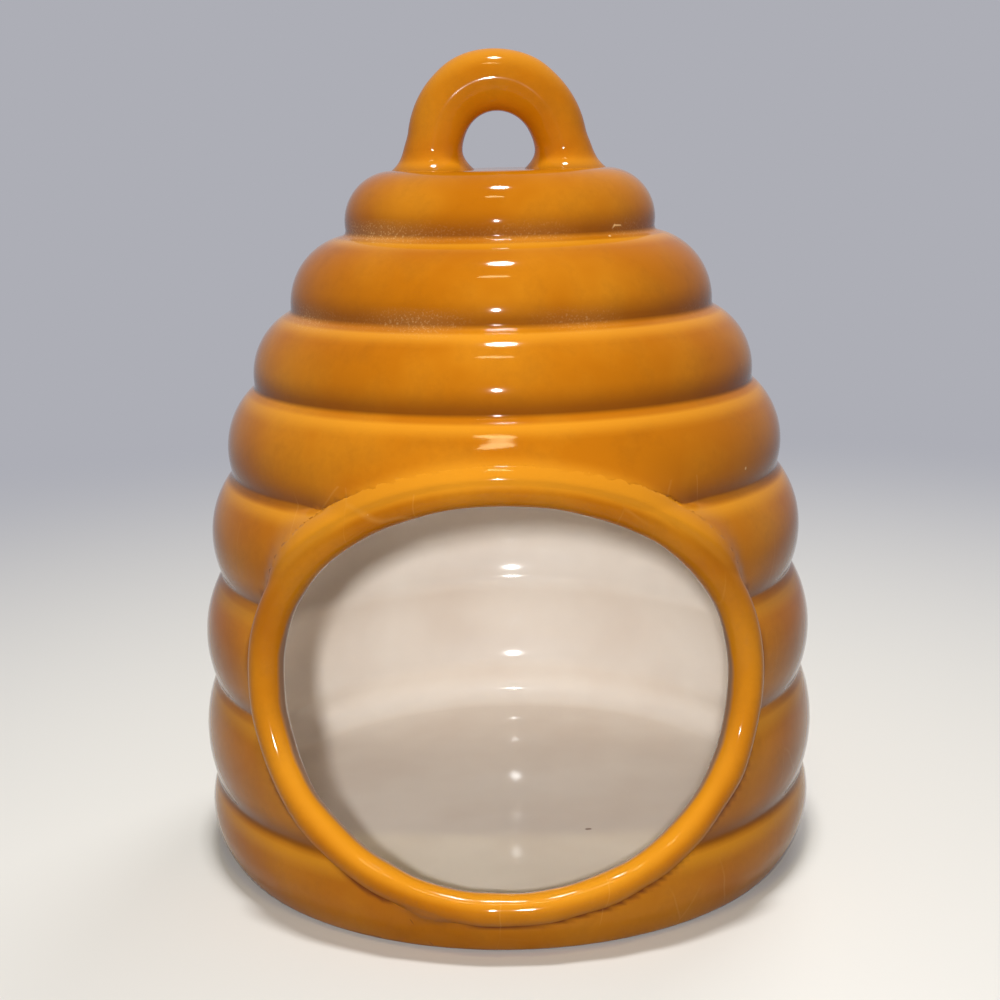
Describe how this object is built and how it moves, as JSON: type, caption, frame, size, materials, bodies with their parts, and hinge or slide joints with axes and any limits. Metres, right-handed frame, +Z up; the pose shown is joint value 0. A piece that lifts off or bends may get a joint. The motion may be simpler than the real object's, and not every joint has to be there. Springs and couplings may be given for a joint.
{
  "type": "beehive jar",
  "caption": "Open-fronted ceramic jar shaped as a ribbed beehive, with a rolled collar round its wide mouth, a white-lined inside and a loop handle on the crown.",
  "frame": {"origin": "centre of the flat underside, on the jar's axis", "axes": "+Z up along the jar's axis, the mouth faces -Y, +X to the right when looking at the mouth"},
  "size_m": [0.12, 0.1219, 0.1533],
  "materials": {
    "amber_glaze": "glossy amber glaze over clay",
    "white_glaze": "glossy white glaze",
    "bare_clay": "dry unglazed clay"
  },
  "bodies": {
    "root": {"hive_shell": "amber_glaze", "mouth_collar": "amber_glaze", "loop_handle": "amber_glaze", "white_lining": "white_glaze", "base_slab": "bare_clay"}
  },
  "joints": []
}
